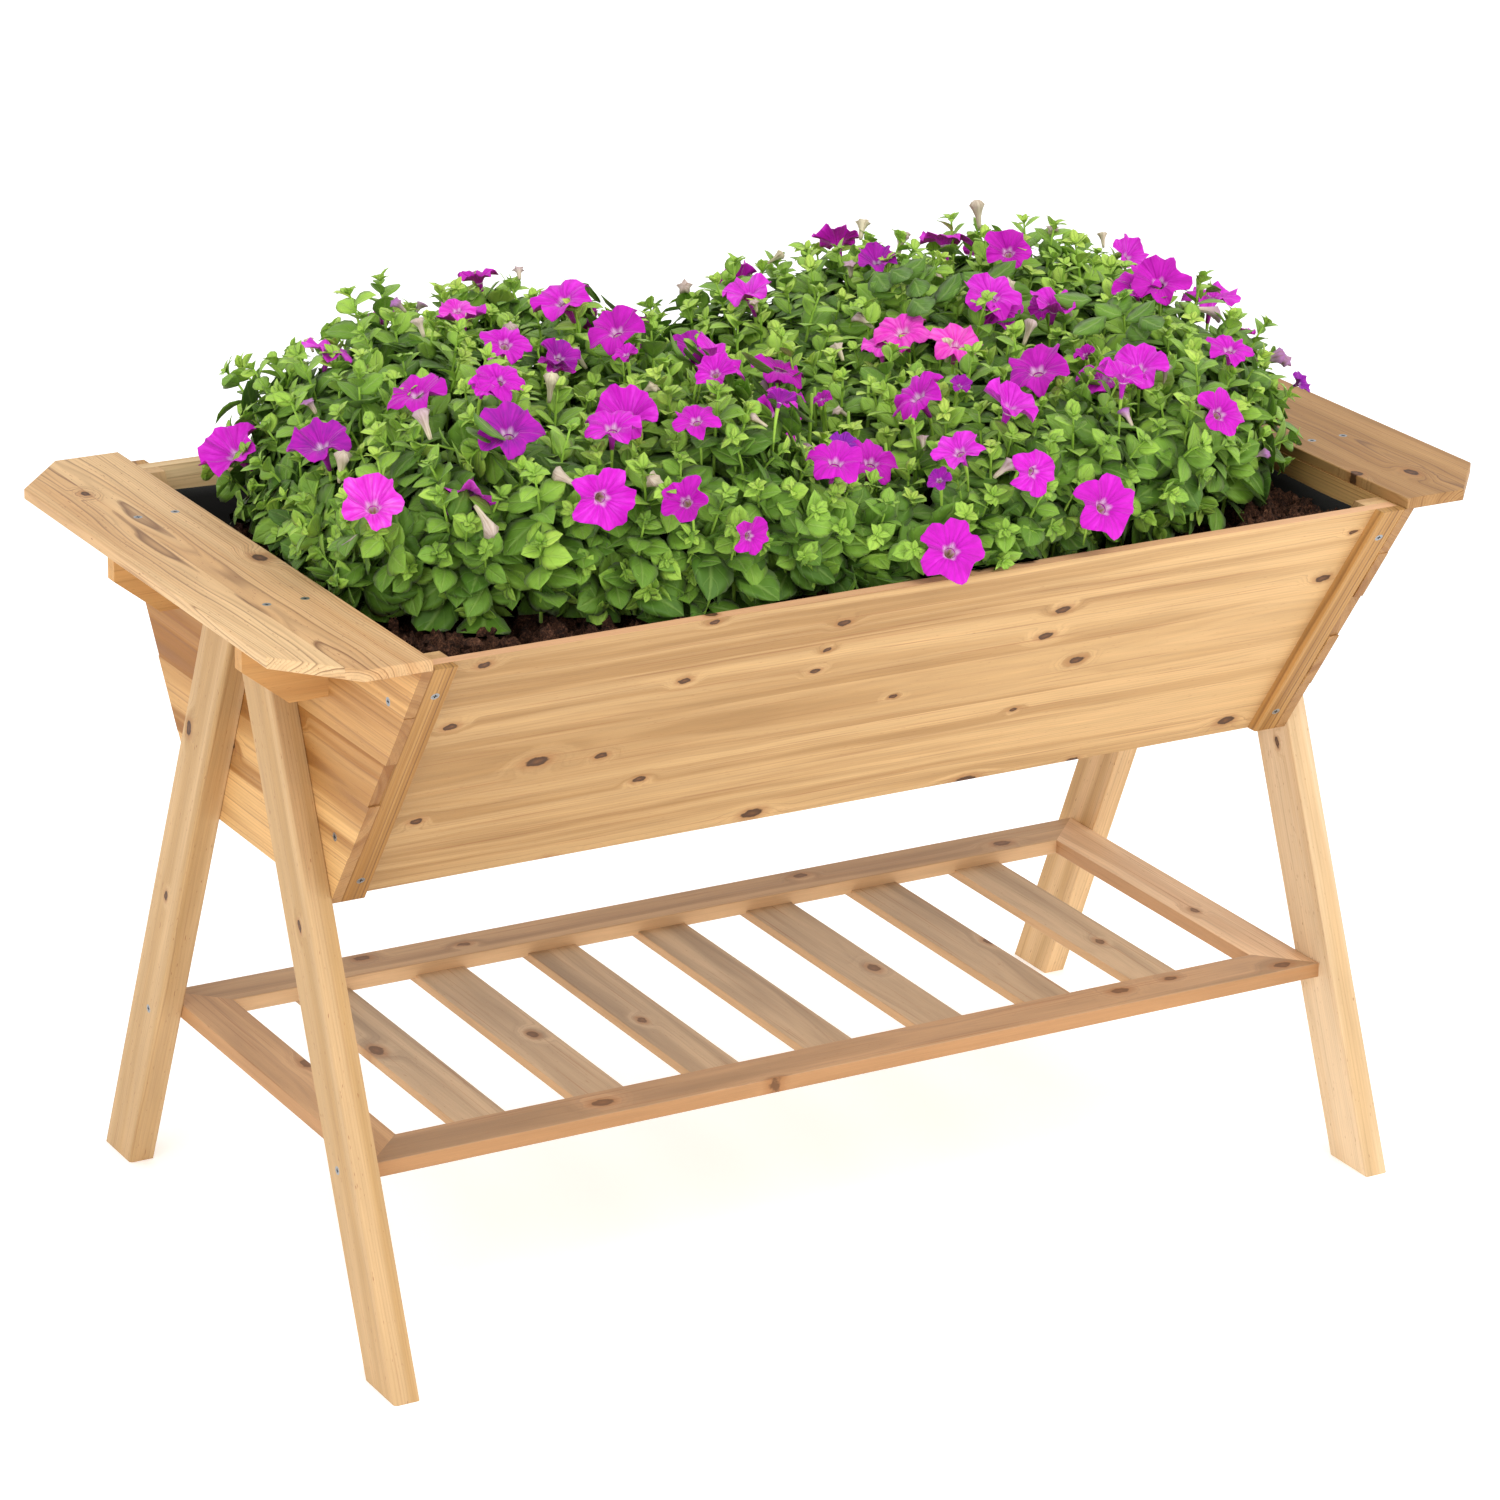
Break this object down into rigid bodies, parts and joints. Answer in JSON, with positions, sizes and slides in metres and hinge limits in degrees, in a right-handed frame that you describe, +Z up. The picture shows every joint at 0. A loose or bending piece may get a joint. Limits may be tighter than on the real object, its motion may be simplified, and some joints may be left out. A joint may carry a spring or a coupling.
{
  "type": "raised planter on legs",
  "caption": "Raised wooden trough planter on splayed A-shaped leg pairs, with wide rim boards at both ends, a slatted shelf below, a fabric liner, soil and bedding plants.",
  "frame": {"origin": "on the ground, below the middle of the trough", "axes": "+X along the trough, +Y from the front long side to the back one, +Z up"},
  "size_m": [1.41, 0.744, 1.035],
  "materials": {
    "fir_rim_board": "matte",
    "fir_end_panel": "matte",
    "fir_long_panel": "matte",
    "fir_leg": "matte",
    "fir_batten": "matte",
    "fir_shelf": "matte",
    "fir_floor": "matte",
    "zinc_screw": "satin",
    "liner_fabric": "matte",
    "potting_soil": "matte",
    "foliage": "matte",
    "petals": "matte"
  },
  "bodies": {
    "root": {"back_left_batten": "fir_batten", "back_left_bracket": "fir_batten", "back_left_corner_post": "fir_batten", "back_left_leg": "fir_leg", "back_panel": "fir_long_panel", "back_right_batten": "fir_batten", "back_right_bracket": "fir_batten", "back_right_corner_post": "fir_batten", "back_right_leg": "fir_leg", "batten_screws": "zinc_screw", "bracket_screws": "zinc_screw", "end_panel_screws": "zinc_screw", "floor_bearer_1": "fir_floor", "floor_bearer_2": "fir_floor", "floor_bearer_3": "fir_floor", "floor_bearer_4": "fir_floor", "floor_board_1": "fir_floor", "floor_board_2": "fir_floor", "floor_board_3": "fir_floor", "floor_screws": "zinc_screw", "front_left_batten": "fir_batten", "front_left_bracket": "fir_batten", "front_left_corner_post": "fir_batten", "front_left_leg": "fir_leg", "front_panel": "fir_long_panel", "front_right_batten": "fir_batten", "front_right_bracket": "fir_batten", "front_right_corner_post": "fir_batten", "front_right_leg": "fir_leg", "left_end_panel": "fir_end_panel", "left_rim_board": "fir_rim_board", "leg_screws": "zinc_screw", "liner": "liner_fabric", "plants": "foliage", "right_end_panel": "fir_end_panel", "right_rim_board": "fir_rim_board", "rim_board_screws": "zinc_screw", "shelf_back_rail": "fir_shelf", "shelf_front_rail": "fir_shelf", "shelf_left_rail": "fir_shelf", "shelf_leg_screws": "zinc_screw", "shelf_right_rail": "fir_shelf", "shelf_slat_1": "fir_shelf", "shelf_slat_2": "fir_shelf", "shelf_slat_3": "fir_shelf", "shelf_slat_4": "fir_shelf", "shelf_slat_5": "fir_shelf", "shelf_slat_6": "fir_shelf", "shelf_slat_7": "fir_shelf", "slat_screws": "zinc_screw", "soil": "potting_soil"}
  },
  "joints": []
}
